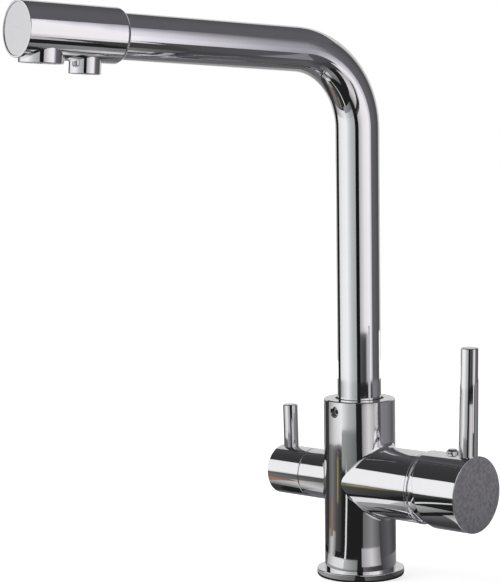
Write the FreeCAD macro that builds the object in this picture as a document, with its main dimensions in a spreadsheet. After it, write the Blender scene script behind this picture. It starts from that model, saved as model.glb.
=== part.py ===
import FreeCAD, Part
import os
import re

import Sketcher
from FreeCAD import Placement, Rotation, Vector

# A deck-mounted kitchen tap for hot, cold and filtered water. The origin is the centre of the
# base's underside, +Z runs up the column, +X towards the mixer handle and -Y towards the user.
# Lengths are in millimetres and angles in degrees.
SIZES = {
    # Clearances: pieces assembled tight, pieces that turn in each other, pieces kept apart.
    "slip_fit": 0.05,
    "running_fit": 0.08,
    "free_gap": 0.3,
    # Overlaps: how far a cut runs past the face it opens, and shapes run into each other where joined.
    "cut_over": 1.0,
    "joint_overlap": 1.0,
    # Column and base.
    "column_d": 45.0,
    "column_top": 114.0,
    "column_edge": 0.6,
    "seam_edge": 0.4,
    "base_ring_d": 55.0,
    "base_ring_height": 6.0,
    "base_ring_edge": 0.6,
    "base_seal_width": 2.6,
    "base_seal_height": 1.5,
    "base_seal_inset": 1.0,
    # Inlet block in the column's foot, with three threads for hoses and two for the fixing studs.
    "inlet_block_d": 40.4,
    "inlet_block_height": 15.0,
    "inlet_thread_d": 9.0,
    "supply_inlet_x": 12.0,
    "supply_inlet_y": 7.4,
    "filter_inlet_x": 11.0,
    "stud_hole_d": 5.0,
    "stud_hole_y": 15.0,
    # Waterways in the column above the block.
    "supply_riser_x": 13.5,
    "supply_bore_d": 6.4,
    "supply_port_d": 5.2,
    "filter_riser_x": 9.5,
    "filter_bore_d": 5.2,
    # Branch and cartridge chamber of the mixer.
    "mixer_height": 62.5,
    "mixer_branch_d": 44.6,
    "mixer_branch_end": 53.0,
    "mixer_branch_fillet": 2.5,
    "nut_thread_d": 38.2,
    "nut_thread_length": 7.0,
    # Branch and valve chamber of the filtered water.
    "filter_height": 62.0,
    "filter_branch_d": 31.3,
    "filter_branch_end": 38.5,
    "filter_branch_fillet": 2.0,
    "filter_chamber_depth": 22.5,
    "filter_valve_d": 20.2,
    "filter_port_offset": 5.0,
    "filter_port_d": 4.4,
    # Socket of the spout in the column's top.
    "socket_floor": 86.0,
    "swivel_bush_d": 27.8,
    "lock_below_top": 6.8,
    "lock_angle": 5.0,
    "lock_screw_d": 6.0,
    "lock_dog_d": 4.0,
    "lock_recess": 2.2,
    "lock_rim_edge": 0.5,
    "lock_groove_width": 5.6,
    "lock_groove_depth": 1.75,
    "bush_collar": 1.2,
    "plug_d": 7.84,
    "plug_gap": 1.0,
    "mixed_riser_x": 8.5,
    "mixed_bore_d": 6.0,
    "glide_ring_height": 2.95,
    "glide_ring_wall": 1.3,
    "thrust_washer_height": 1.9,
    "thrust_washer_bore_d": 21.0,
    # Spout tube and arm.
    "spout_d": 27.5,
    "spout_wall": 1.2,
    "bend_radius": 50.0,
    "arm_rise": 4.0,
    "arm_height": 329.9,
    "arm_reach": 241.2,
    "spout_angle": 13.0,
    "spigot_length": 13.4,
    "bush_bore_d": 19.0,
    "o_ring_section": 2.4,
    "o_ring_groove": 2.9,
    "o_ring_inset": 4.0,
    "o_ring_spacing": 5.0,
    # Head of the spout with its two outlets, measured back from its face.
    "head_d": 33.0,
    "head_length": 67.0,
    "head_shoulder": 2.7,
    "head_edge": 0.4,
    "head_socket_depth": 10.0,
    "end_cap_rim": 1.1,
    "end_cap_height": 2.7,
    "end_cap_inset": 0.5,
    "end_cap_edge": 0.2,
    "main_outlet_back": 16.8,
    "main_outlet_d": 26.2,
    "main_outlet_drop": 2.2,
    "main_outlet_seat": 6.0,
    "filter_outlet_back": 45.8,
    "filter_outlet_d": 18.8,
    "filter_outlet_drop": 6.8,
    "filter_outlet_seat": 9.0,
    "outlet_edge": 0.6,
    "outlet_wall": 2.1,
    "outlet_flange": 2.0,
    "insert_inset": 0.8,
    "main_insert_height": 6.0,
    "filter_insert_height": 6.5,
    "insert_hole_d": 1.8,
    "insert_hub_d": 4.0,
    "insert_row_step": 2.7,
    "screen_height": 0.6,
    "screen_hole_d": 1.2,
    "screen_circle_d": 13.1,
    "filter_washer_height": 2.0,
    "outlet_washer_width": 2.4,
    "head_waterway_d": 8.8,
    "head_waterway_rise": 8.6,
    # Inner tube that keeps the filtered water apart.
    "filter_tube_d": 6.0,
    "filter_tube_wall": 1.0,
    "filter_tube_hold": 8.0,
    "plug_hold": 12.0,
    "plug_length": 9.5,
    "plug_flange_d": 12.0,
    "plug_flange_height": 1.8,
    "plug_neck_d": 9.2,
    "plug_neck_height": 7.0,
    "plug_bore_d": 3.6,
    "plug_ring_section": 1.5,
    "plug_ring_inset": 3.2,
    # Ceramic cartridge, stacked back from the nut.
    "cartridge_d": 34.8,
    "cartridge_wall": 1.8,
    "cartridge_end_wall": 2.0,
    "cartridge_neck_d": 26.0,
    "cartridge_neck_length": 11.0,
    "cartridge_base_height": 4.6,
    "disc_height": 3.0,
    "disc_gap": 0.03,
    "moving_disc_d": 19.6,
    "mixing_recess_d": 11.6,
    "mixing_recess_offset": 3.4,
    "mixing_recess_depth": 1.5,
    "carrier_height": 3.4,
    "carrier_pocket_gap": 0.4,
    "cartridge_port_rise": 5.0,
    "cartridge_port_spread": 5.4,
    "cartridge_port_d": 4.6,
    "cartridge_outlet_drop": 4.2,
    "cartridge_outlet_d": 6.0,
    "port_seal_d": 8.0,
    "port_seal_section": 1.6,
    "port_seal_stand": 0.4,
    "rotor_flange_height": 1.3,
    "rotor_d": 20.2,
    "rotor_slot_length": 16.0,
    "lug_width": 12.0,
    "lug_wall": 3.0,
    "pivot_stand": 7.0,
    "pivot_pin_d": 4.0,
    "spindle_square": 8.0,
    "spindle_back": 4.0,
    "spindle_reach": 20.5,
    "spindle_arm": 11.4,
    "spindle_arm_d": 3.2,
    "spindle_ball_d": 4.0,
    "nut_lip": 2.0,
    "nut_boss_d": 34.6,
    "nut_boss_height": 4.5,
    "nut_key_width": 4.0,
    # Chrome shroud over the cartridge, and the mixer handle that tilts over its round nose.
    "shroud_flange_height": 2.0,
    "shroud_nose_end": 13.0,
    "shroud_bore_d": 37.2,
    "mixer_tilt": 25.0,
    "mixer_cap_d": 47.4,
    "mixer_cap_wall": 1.5,
    "mixer_cap_rim": 3.0,
    "mixer_cap_face": 91.8,
    "mixer_cap_front": 12.0,
    "handle_cap_edge": 0.5,
    "mixer_boss_d": 16.0,
    "mixer_boss_back": 11.0,
    "mixer_screw_stand": 15.5,
    "mixer_screw_d": 5.0,
    "mixer_screw_length": 8.0,
    "mixer_screw_boss_d": 10.0,
    "button_d": 7.4,
    "button_flat_d": 5.0,
    "button_side": 1.4,
    "button_rise": 2.8,
    "button_edge": 0.6,
    "button_seat": 0.4,
    "button_stem": 5.0,
    "mixer_lever_stand": 27.6,
    "mixer_lever_base_d": 11.9,
    "mixer_lever_top_d": 11.0,
    "mixer_lever_top": 89.8,
    "mixer_lever_lean": 1.2,
    "mixer_spigot_d": 6.0,
    "lever_spigot_depth": 10.0,
    "lever_foot_sink": 2.0,
    "lever_edge": 0.5,
    # Quarter-turn valve and handle of the filtered water, stacked out from the chamber's floor.
    "valve_seal_height": 2.0,
    "filter_disc_height": 3.0,
    "filter_disc_d": 16.8,
    "filter_channel_width": 5.0,
    "filter_channel_length": 14.0,
    "filter_channel_depth": 1.5,
    "valve_flange_height": 2.9,
    "valve_spindle_d": 8.0,
    "valve_spindle_end": 15.0,
    "valve_hex": 17.0,
    "valve_hex_height": 4.5,
    "valve_neck_d": 13.8,
    "valve_neck_end": 5.6,
    "spindle_ring_section": 1.4,
    "spindle_ring_back": 5.0,
    "filter_cap_d": 31.3,
    "filter_cap_wall": 1.7,
    "filter_cap_face": 26.2,
    "filter_cap_front": 14.7,
    "filter_boss_d": 14.0,
    "filter_boss_back": 7.5,
    "filter_screw_stand": 9.5,
    "filter_screw_d": 4.0,
    "filter_screw_length": 6.0,
    "filter_screw_boss_d": 7.0,
    "filter_lever_stand": 19.0,
    "filter_lever_d": 9.4,
    "filter_lever_top": 42.6,
    "filter_lever_lean": 1.5,
    "filter_spigot_d": 5.0,
    "socket_key": 2.5,
    "socket_key_depth": 3.0,
}

# Places and fits worked out from the sizes.
PLACES = {
    "column_r": "column_d / 2",
    "base_ring_r": "base_ring_d / 2",
    "base_bore_r": "column_r + slip_fit",
    "base_seal_r": "base_ring_r - base_seal_inset",
    # Mixer, measured along +X from the column's axis.
    "branch_r": "mixer_branch_d / 2",
    "cartridge_r": "cartridge_d / 2",
    "chamber_r": "cartridge_r + 2 * slip_fit",
    "cavity_r": "cartridge_r - cartridge_wall",
    "shoulder": "mixer_branch_end - nut_lip",
    "nut_back": "mixer_branch_end - nut_thread_length",
    "rotor_flange_top": "shoulder - cartridge_end_wall - running_fit",
    "rotor_flange_back": "rotor_flange_top - rotor_flange_height",
    "carrier_top": "rotor_flange_back - free_gap / 2",
    "carrier_back": "carrier_top - carrier_height",
    "moving_disc_back": "carrier_back - disc_height",
    "fixed_disc_top": "moving_disc_back - disc_gap",
    "fixed_disc_back": "fixed_disc_top - disc_height",
    "cartridge_back": "fixed_disc_back - cartridge_base_height",
    "mixer_floor": "cartridge_back - port_seal_stand",
    "neck_end": "shoulder + cartridge_neck_length",
    "pivot": "shoulder + pivot_stand",
    "ball_place": "pivot - spindle_arm",
    "rotor_bore_r": "rotor_d / 2 + running_fit",
    "lug_inner": "moving_disc_d / 2 + running_fit",
    "stem_hole": "spindle_square + 2 * slip_fit",
    "seal_recess_r": "port_seal_d / 2 + port_seal_section / 2 + slip_fit",
    "seal_recess_depth": "port_seal_section - port_seal_stand",
    "shroud_back": "mixer_branch_end + slip_fit",
    "shroud_step": "shroud_back + shroud_flange_height",
    "nose_end": "mixer_branch_end + shroud_nose_end",
    "cap_r": "mixer_cap_d / 2",
    "cap_inner_r": "cap_r - mixer_cap_wall",
    "nose_r": "cap_inner_r - free_gap",
    "cap_rim": "pivot + mixer_cap_rim",
    "cap_wide": "cap_r + cut_over",
    "rim_slant": "cap_wide * tan(mixer_tilt / 2)",
    "cap_cavity_end": "mixer_cap_face - mixer_cap_front",
    "mixer_screw_place": "pivot + mixer_screw_stand",
    "mixer_boss_end": "pivot + mixer_boss_back",
    "spindle_end": "pivot + spindle_reach",
    "mixer_lever_place": "pivot + mixer_lever_stand",
    # Filtered water valve, measured along -X from the column's axis.
    "filter_branch_r": "filter_branch_d / 2",
    "valve_r": "filter_valve_d / 2",
    "filter_chamber_r": "valve_r + 2 * slip_fit",
    "filter_floor": "filter_branch_end - filter_chamber_depth",
    "fixed_filter_disc": "filter_floor + valve_seal_height",
    "valve_back": "fixed_filter_disc + filter_disc_height",
    "moving_filter_disc": "valve_back + disc_gap",
    "valve_flange_back": "moving_filter_disc + filter_disc_height",
    "valve_flange_top": "valve_flange_back + valve_flange_height",
    "valve_cavity_end": "valve_flange_top + running_fit",
    "valve_cavity_r": "filter_disc_d / 2 + free_gap / 2",
    "valve_spindle_r": "valve_spindle_d / 2",
    "valve_bore_r": "valve_spindle_r + running_fit",
    "valve_hex_back": "filter_branch_end + slip_fit",
    "valve_hex_top": "valve_hex_back + valve_hex_height",
    "valve_neck_top": "filter_branch_end + valve_neck_end",
    "spindle_ring_place": "valve_cavity_end + spindle_ring_back",
    "filter_cap_r": "filter_cap_d / 2",
    "filter_cap_back": "filter_branch_end + free_gap",
    "filter_cap_wide": "filter_cap_r + cut_over",
    "filter_cap_inner": "filter_cap_r - filter_cap_wall",
    "filter_face": "filter_branch_end + filter_cap_face",
    "filter_cavity_end": "filter_face - filter_cap_front",
    "filter_boss_end": "filter_branch_end + filter_boss_back",
    "filter_spindle_top": "filter_branch_end + valve_spindle_end",
    "filter_screw_place": "filter_branch_end + filter_screw_stand",
    "filter_lever_place": "filter_branch_end + filter_lever_stand",
    # Spout, measured up the column's axis.
    "spout_r": "spout_d / 2",
    "spout_inner_r": "spout_r - spout_wall",
    "bush_r": "swivel_bush_d / 2",
    "socket_r": "bush_r + running_fit",
    "lock_height": "column_top - lock_below_top",
    "lock_groove_low": "lock_height - lock_groove_width / 2",
    "lock_groove_top": "lock_height + lock_groove_width / 2",
    "glide_ring_back": "column_top - glide_ring_height",
    "glide_ring_r": "socket_r + glide_ring_wall",
    "spout_foot": "lock_groove_top + bush_collar",
    "spigot_top": "spout_foot + spigot_length",
    "spigot_r": "spout_inner_r - slip_fit",
    "thrust_washer_top": "socket_floor + thrust_washer_height",
    "bush_back": "thrust_washer_top + 2 * slip_fit",
    "ring_groove_r": "bush_r - o_ring_section",
    "first_ring": "bush_back + o_ring_inset",
    "second_ring": "first_ring + o_ring_spacing",
    "plug_r": "plug_d / 2",
    "plug_socket_r": "plug_r + running_fit",
    "plug_back": "socket_floor - plug_length",
    "plug_seat": "socket_floor + running_fit * 2",
    "plug_flange_top": "plug_seat + plug_flange_height",
    "plug_top": "plug_flange_top + plug_neck_height",
    "filter_tube_r": "filter_tube_d / 2",
    "filter_tube_foot": "plug_top - plug_hold",
    "plug_ring_place": "plug_back + plug_ring_inset",
    "turn_angle": "90 - arm_rise",
    "bend_low": "arm_height - bend_radius * tan(turn_angle / 2)",
    "bend_end_reach": "bend_radius * (1 - cos(turn_angle))",
    "bend_end_height": "bend_low + bend_radius * sin(turn_angle)",
    # Head, measured along the arm's axis from the column's axis.
    "head_r": "head_d / 2",
    "head_back": "arm_reach - head_length",
    "socket_end": "head_back + head_socket_depth",
    "tube_end": "socket_end + filter_tube_hold",
    "main_outlet": "arm_reach - main_outlet_back",
    "filter_outlet": "arm_reach - filter_outlet_back",
    "end_cap_r": "head_r - end_cap_rim",
    "end_cap_top": "arm_reach - end_cap_inset",
    "end_cap_back": "end_cap_top - end_cap_height",
    # Outlets, measured up from the arm's axis.
    "head_below": "0 - head_r - cut_over",
    "main_mouth": "0 - head_r - main_outlet_drop",
    "main_top": "0 - main_outlet_seat - slip_fit",
    "filter_mouth": "0 - head_r - filter_outlet_drop",
    "filter_top": "0 - filter_outlet_seat - slip_fit",
}


def cells(text):
    """Spell out a formula: a size becomes its cell, and a place its own formula."""
    def spelled(word):
        name = word[0]
        if name in SIZES:
            return "Sizes." + name
        return "(" + cells(PLACES[name]) + ")" if name in PLACES else name
    return re.sub(r"[a-z_]\w*", spelled, text)


def value(text):
    """The number that a formula of sizes and places gives."""
    return float(sheet.evalExpression(cells(text)))


doc = FreeCAD.newDocument("three_way_tap")
sheet = doc.addObject("Spreadsheet::Sheet", "Sizes")
for row, (size_name, size) in enumerate(SIZES.items(), 1):
    sheet.set(f"A{row}", size_name)
    sheet.set(f"B{row}", str(size))
    sheet.setAlias(f"B{row}", size_name)
doc.recompute()

# Each group of pieces is drawn about its own axis, which is local Z, with local X upwards.
ACROSS = Rotation(Vector(1, 0, 1), 180)
FORWARD = Rotation(Vector(1, 0, 0), 90 - value("arm_rise")) * Rotation(Vector(0, 0, 1), 90)
SWIVEL = Rotation(Vector(0, 0, 1), -value("spout_angle"))
COLUMN = Placement()
MIXER = Placement(Vector(0, 0, value("mixer_height")), ACROSS)
FILTER = Placement(Vector(0, 0, value("filter_height")), Rotation(Vector(0, 1, 0), -90))
SPOUT = Placement(Vector(), SWIVEL)
ARM = Placement(Vector(0, 0, value("arm_height")), SWIVEL * FORWARD)
MAIN_OUTLET = ARM * Placement(Vector(0, 0, value("main_outlet")), ACROSS)
FILTER_OUTLET = ARM * Placement(Vector(0, 0, value("filter_outlet")), ACROSS)
INWARDS = Rotation(Vector(1, 0, 0), 90) * Rotation(Vector(0, 0, 1), 90)
LOCK_SIDE = Rotation(Vector(0, 0, 1), -value("lock_angle"))
LOCK = Placement(Vector(0, 0, value("lock_height")), LOCK_SIDE * INWARDS)

nodes = []


def node(piece, label, frame):
    """Name a finished piece, set it in its frame and keep it for the hand-over."""
    piece.Label = label
    piece.Placement = frame
    nodes.append(piece)
    return piece


def sketch_on(body, plane, offset="0"):
    """A sketch on one of the body's own planes, moved along the plane's normal."""
    sketch = body.newObject("Sketcher::SketchObject", "Sketch")
    support = [origin for origin in body.Origin.OriginFeatures if origin.Role == plane][0]
    sketch.AttachmentSupport = [(support, "")]
    sketch.MapMode = "FlatFace"
    sketch.setExpression("AttachmentOffset.Base.z", cells(offset))
    return sketch


def pin_point(sketch, geometry, point, across, up):
    """Hold one point of a sketch at two formulas."""
    for kind, text in (("DistanceX", across), ("DistanceY", up)):
        number = sketch.addConstraint(Sketcher.Constraint(kind, geometry, point, value(text)))
        sketch.setExpression(f"Constraints[{number}]", cells(text))


def outline(points):
    """A closed outline through corners that are pairs of formulas."""
    def draw(sketch):
        corners = [Vector(value(across), value(up), 0) for across, up in points]
        count = len(corners)
        for number, corner in enumerate(corners):
            sketch.addGeometry(Part.LineSegment(corner, corners[(number + 1) % count]))
        for number, (across, up) in enumerate(points):
            following = (number + 1) % count
            sketch.addConstraint(Sketcher.Constraint("Coincident", number, 2, following, 1))
            pin_point(sketch, number, 1, across, up)
    return draw


def rectangle(low_across, low_up, high_across, high_up):
    """A rectangle between two corners."""
    return outline([
        (low_across, low_up), (high_across, low_up),
        (high_across, high_up), (low_across, high_up),
    ])


def circles(radius, *centres):
    """Circles of one radius about the given centres."""
    def draw(sketch):
        for across, up in centres:
            middle = Vector(value(across), value(up), 0)
            number = sketch.addGeometry(Part.Circle(middle, Vector(0, 0, 1), value(radius)))
            pin_point(sketch, number, 3, across, up)
            limit = sketch.addConstraint(Sketcher.Constraint("Radius", number, value(radius)))
            sketch.setExpression(f"Constraints[{limit}]", cells(radius))
    return draw


def hexagon(across_flats):
    """A six-sided outline of this width from flat to flat."""
    corner = f"{across_flats} / 2 / cos(30)"
    return outline([(f"{corner} * cos({turn})", f"{corner} * sin({turn})") for turn in range(0, 360, 60)])


def both(*drawings):
    """Several outlines in one sketch, such as a shape and the hole in it."""
    return lambda sketch: [draw(sketch) for draw in drawings]


def turned(draw):
    """A body turned about its own Z from a drawing of radius against height."""
    body = doc.addObject("PartDesign::Body", "Body")
    sketch = sketch_on(body, "XZ_Plane")
    draw(sketch)
    step = body.newObject("PartDesign::Revolution", "Turned")
    step.Profile = sketch
    step.ReferenceAxis = (sketch, ["V_Axis"])
    step.Angle = 360
    doc.recompute()
    return body


def ring(inner, outer, low, high):
    """A plain ring or disc about Z."""
    return turned(rectangle(inner, low, outer, high))


def shaped(body, kind, plane, start, end, draw):
    """Pad or pocket a drawing from start to end along the plane's normal."""
    before = body.Shape.Volume
    sketch = sketch_on(body, plane, start)
    draw(sketch)
    step = body.newObject("PartDesign::" + kind, kind)
    step.Profile = sketch
    step.setExpression("Length", cells(f"abs(({end}) - ({start}))"))
    outwards = value(end) > value(start)
    step.Reversed = outwards if kind == "Pocket" else not outwards
    doc.recompute()
    change = body.Shape.Volume - before
    if (change if kind == "Pad" else -change) < 0.01:
        raise ValueError(f"{kind} on {plane} from {start} to {end} changes nothing")
    return step


def bore(body, plane, start, end, radius, *centres):
    """Round holes of one radius."""
    return shaped(body, "Pocket", plane, start, end, circles(radius, *(centres or [("0", "0")])))


def softened(body, kind, size, chosen):
    """Round or chamfer the edges that a test chooses."""
    base = body.Tip
    edges = [f"Edge{number}" for number, edge in enumerate(base.Shape.Edges, 1) if chosen(edge)]
    step = body.newObject("PartDesign::" + kind, kind)
    step.Base = (base, edges)
    step.setExpression("Radius" if kind == "Fillet" else "Size", cells(size))
    doc.recompute()
    return step


def rim(radius, height):
    """Choose the round edge of a turned piece with this radius at this height."""
    def chosen(edge):
        curve = edge.Curve
        return (
            isinstance(curve, Part.Circle)
            and abs(curve.Radius - value(radius)) < 1e-3
            and abs(curve.Center.z - value(height)) < 1e-3
            and abs(curve.Axis.z) > 0.99
        )
    return chosen


def around(body, step, count):
    """Repeat a pocket evenly about Z."""
    pattern = body.newObject("PartDesign::PolarPattern", "Pattern")
    pattern.Originals = [step]
    pattern.Axis = ([axis for axis in body.Origin.OriginFeatures if axis.Role == "Z_Axis"][0], [""])
    pattern.Angle = 360
    pattern.Occurrences = count
    body.Tip = pattern
    doc.recompute()


def solid(kind, at=("0", "0", "0"), turn=Rotation(), **sizes):
    """A plain solid with its sizes and its corner or foot bound to formulas."""
    shape = doc.addObject("Part::" + kind, kind)
    for name, text in sizes.items():
        shape.setExpression(name, cells(text))
    shape.Placement = Placement(Vector(), turn)
    for axis, text in zip("xyz", at):
        shape.setExpression("Placement.Base." + axis, cells(text))
    return shape


def joined(*pieces):
    """One solid out of pieces that touch."""
    result = doc.addObject("Part::MultiFuse", "Joined")
    result.Shapes = list(pieces)
    return result


def cut(base, *tools):
    """A solid less one or more tools."""
    result = doc.addObject("Part::Cut", "Cut")
    result.Base = base
    result.Tool = joined(*tools) if len(tools) > 1 else tools[0]
    return result


def group(*pieces):
    """Separate solids kept in one node."""
    result = doc.addObject("Part::Compound", "Group")
    result.Links = list(pieces)
    return result


def is_junction(edge):
    """Choose the curve along which two round branches meet."""
    return isinstance(edge.Curve, Part.BSplineCurve)


def is_far_junction(edge):
    """Choose that curve on the filtered water's side."""
    return is_junction(edge) and edge.BoundBox.XMax < 0


def is_branch_rim(edge):
    """Choose the outer rim of either branch's open end."""
    curve = edge.Curve
    if not isinstance(curve, Part.Circle) or abs(curve.Axis.x) < 0.99:
        return False
    ends = [("branch_r", "mixer_branch_end"), ("filter_branch_r", "-filter_branch_end")]
    return any(
        abs(curve.Radius - value(radius)) < 1e-3 and abs(curve.Center.x - value(end)) < 1e-3
        for radius, end in ends
    )


def is_lock_rim(edge):
    """Choose the curve in which the lock screw's hole meets the column's outside."""
    reach = value("lock_screw_d / 2 + cut_over")
    return all(
        Vector(point.X, point.Y, 0).Length > value("column_r") - 1e-3
        and abs(point.Z - value("lock_height")) < reach
        for point in edge.Vertexes
    )


def is_slanted_rim(edge):
    """Choose the outer rim of the mixer cap's slanted mouth."""
    curve = edge.Curve
    return isinstance(curve, Part.Ellipse) and abs(curve.MinorRadius - value("cap_r")) < 1e-3


def tap_body():
    """Cast body: the column with its two branches, the chambers and the drilled waterways."""
    body = turned(rectangle("0", "0", "column_r", "column_top"))
    mixer_axis = ("0", "mixer_height")
    filter_axis = ("0", "filter_height")
    shaped(body, "Pad", "YZ_Plane", "0", "mixer_branch_end", circles("branch_r", mixer_axis))
    softened(body, "Fillet", "mixer_branch_fillet", is_junction)
    shaped(body, "Pad", "YZ_Plane", "0", "-filter_branch_end", circles("filter_branch_r", filter_axis))
    softened(body, "Fillet", "filter_branch_fillet", is_far_junction)
    softened(body, "Fillet", "seam_edge", is_branch_rim)
    softened(body, "Chamfer", "column_edge", rim("column_r", "column_top"))
    # Spout socket, its wider mouth for the glide ring, and the lock screw's hole.
    bore(body, "XY_Plane", "column_top", "socket_floor", "socket_r")
    bore(body, "XY_Plane", "column_top", "glide_ring_back", "glide_ring_r + slip_fit")
    outside = "column_r + cut_over"
    lock = bore(body, "XZ_Plane", "0", outside, "lock_screw_d / 2 + slip_fit", ("0", "lock_height"))
    lock_turn = Rotation(Vector(0, 1, 0), -value("lock_angle"))
    lock.Profile[0].AttachmentOffset = Placement(Vector(), lock_turn)
    doc.recompute()
    softened(body, "Chamfer", "lock_rim_edge", is_lock_rim)
    # Cartridge chamber and its three ports.
    bore(body, "YZ_Plane", "mixer_branch_end", "mixer_floor", "chamber_r", mixer_axis)
    bore(body, "YZ_Plane", "mixer_branch_end", "nut_back", "nut_thread_d / 2 + slip_fit", mixer_axis)
    supply_level = "mixer_height + cartridge_port_rise"
    supply = [("cartridge_port_spread", supply_level), ("-cartridge_port_spread", supply_level)]
    bore(body, "YZ_Plane", "mixer_floor", "supply_riser_x", "supply_port_d / 2", *supply)
    mixed_level = "mixer_height - cartridge_outlet_drop"
    bore(body, "YZ_Plane", "mixer_floor", "mixed_riser_x", "mixed_bore_d / 2", ("0", mixed_level))
    bore(body, "XY_Plane", "socket_floor", mixed_level, "mixed_bore_d / 2", ("mixed_riser_x", "0"))
    # Filter valve chamber, its two ports and the middle riser to the spout's inner tube.
    bore(body, "YZ_Plane", "-filter_branch_end", "-filter_floor", "filter_chamber_r", filter_axis)
    inlet_level = "filter_height - filter_port_offset"
    outlet_level = "filter_height + filter_port_offset"
    bore(body, "YZ_Plane", "-filter_floor", "-filter_riser_x", "filter_port_d / 2", ("0", inlet_level))
    bore(body, "YZ_Plane", "-filter_floor", "0", "filter_port_d / 2", ("0", outlet_level))
    bore(body, "XY_Plane", "socket_floor", outlet_level, "filter_bore_d / 2")
    bore(body, "XY_Plane", "socket_floor", "plug_back - plug_gap", "plug_socket_r")
    # Seat of the inlet block, and the hot, cold and filter risers above it.
    bore(body, "XY_Plane", "0", "inlet_block_height", "inlet_block_d / 2 + slip_fit")
    risers = [("supply_riser_x", "supply_inlet_y"), ("supply_riser_x", "-supply_inlet_y")]
    bore(body, "XY_Plane", "inlet_block_height", supply_level, "supply_bore_d / 2", *risers)
    filter_riser = ("-filter_riser_x", "0")
    bore(body, "XY_Plane", "inlet_block_height", inlet_level, "filter_bore_d / 2", filter_riser)
    node(body, "tap_body", COLUMN)


def inlet_block():
    """Brass block pressed into the column's foot, threaded for the three hoses and the two studs."""
    block = ring("0", "inlet_block_d / 2", "0", "inlet_block_height")
    hoses = [
        ("supply_inlet_x", "supply_inlet_y"), ("supply_inlet_x", "-supply_inlet_y"),
        ("-filter_inlet_x", "0"),
    ]
    studs = [("0", "stud_hole_y"), ("0", "-stud_hole_y")]
    bore(block, "XY_Plane", "0", "inlet_block_height", "inlet_thread_d / 2", *hoses)
    bore(block, "XY_Plane", "0", "inlet_block_height", "stud_hole_d / 2", *studs)
    node(block, "inlet_block", COLUMN)


def base_pieces():
    """Chromed ring round the column's foot, and the rubber seal set into its underside."""
    base = turned(rectangle("base_bore_r", "0", "base_ring_r", "base_ring_height"))
    softened(base, "Fillet", "base_ring_edge", rim("base_ring_r", "base_ring_height"))
    seal_inner = "base_seal_r - base_seal_width"
    groove = circles("base_seal_r + slip_fit", ("0", "0"))
    island = circles(seal_inner + " - slip_fit", ("0", "0"))
    shaped(base, "Pocket", "XY_Plane", "0", "base_seal_height", both(groove, island))
    node(base, "base_ring", COLUMN)
    node(ring(seal_inner, "base_seal_r", "0", "base_seal_height"), "base_seal_ring", COLUMN)


def screw(radius, low, high, dog="", dog_end=""):
    """A headless screw with a hexagonal socket for its key, and a dog point where it has one."""
    points = [("0", low), (radius, low), (radius, high), ("0", high)]
    if dog:
        points[:1] = [("0", dog_end), (dog, dog_end), (dog, low)]
    body = turned(outline(points))
    depth = f"({high}) - socket_key_depth"
    shaped(body, "Pocket", "XY_Plane", high, depth, hexagon("socket_key"))
    return body


def o_ring(section, outer, place):
    """A rubber ring of this section and outer radius, at a place along Z."""
    return turned(circles(f"{section} / 2", (f"{outer} - {section} / 2", place)))


def swivel_pieces():
    """What holds and seals the spout's foot in the column, and lets it turn."""
    tip = "bush_r - lock_groove_depth + free_gap"
    high = "column_r - lock_recess"
    lock = screw("lock_screw_d / 2", "socket_r + running_fit", high, "lock_dog_d / 2", tip)
    node(lock, "spout_lock_screw", LOCK)
    grooves = []
    for middle in ("first_ring", "second_ring"):
        low, top = middle + " - o_ring_groove / 2", middle + " + o_ring_groove / 2"
        grooves += [("bush_r", low), ("ring_groove_r", low), ("ring_groove_r", top), ("bush_r", top)]
    lock_floor = "bush_r - lock_groove_depth"
    bush = turned(outline([
        ("bush_bore_d / 2", "bush_back"), ("bush_r", "bush_back"), *grooves,
        ("bush_r", "lock_groove_low"), (lock_floor, "lock_groove_low"),
        (lock_floor, "lock_groove_top"), ("bush_r", "lock_groove_top"),
        ("bush_r", "spout_foot"), ("spigot_r", "spout_foot"),
        ("spigot_r", "spigot_top"), ("bush_bore_d / 2", "spigot_top"),
    ]))
    node(bush, "spout_swivel_bush", SPOUT)
    node(group(o_ring("o_ring_section", "bush_r", "first_ring"),
               o_ring("o_ring_section", "bush_r", "second_ring")), "spout_o_rings", SPOUT)
    collar = ring("spout_r + free_gap / 2", "glide_ring_r", "glide_ring_back", "column_top")
    node(collar, "spout_glide_ring", COLUMN)
    washer_inner = "thrust_washer_bore_d / 2"
    washer = ring(washer_inner, "socket_r - slip_fit", "socket_floor", "thrust_washer_top")
    node(washer, "spout_thrust_washer", COLUMN)


def along_spout(outer, inner, foot, end):
    """A tube up the column's axis, round the bend and out along the arm."""
    body = doc.addObject("PartDesign::Body", "Body")
    path = sketch_on(body, "YZ_Plane")
    corner = ("-bend_end_reach", "bend_end_height")
    far = (f"-({end}) * cos(arm_rise)", f"arm_height + ({end}) * sin(arm_rise)")
    points = [("0", foot), ("0", "bend_low"), corner, far]
    places = [Vector(value(across), value(up), 0) for across, up in points]
    middle = Vector(-value("bend_radius"), places[1].y, 0)
    bend = Part.Circle(middle, Vector(0, 0, 1), value("bend_radius"))
    path.addGeometry(Part.LineSegment(places[0], places[1]))
    path.addGeometry(Part.LineSegment(places[2], places[3]))
    path.addGeometry(Part.ArcOfCircle(bend, bend.parameter(places[1]), bend.parameter(places[2])))
    for number, (across, up) in enumerate(points):
        pin_point(path, number // 2, number % 2 + 1, across, up)
    path.addConstraint(Sketcher.Constraint("Coincident", 2, 1, 0, 2))
    path.addConstraint(Sketcher.Constraint("Coincident", 2, 2, 1, 1))
    limit = path.addConstraint(Sketcher.Constraint("Radius", 2, value("bend_radius")))
    path.setExpression(f"Constraints[{limit}]", cells("bend_radius"))
    section = sketch_on(body, "XY_Plane", foot)
    circles(outer, ("0", "0"))(section)
    circles(inner, ("0", "0"))(section)
    doc.recompute()
    step = body.newObject("PartDesign::AdditivePipe", "Tube")
    step.Profile = section
    step.Spine = (path, ["Edge1", "Edge3", "Edge2"])
    doc.recompute()
    return body


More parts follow.
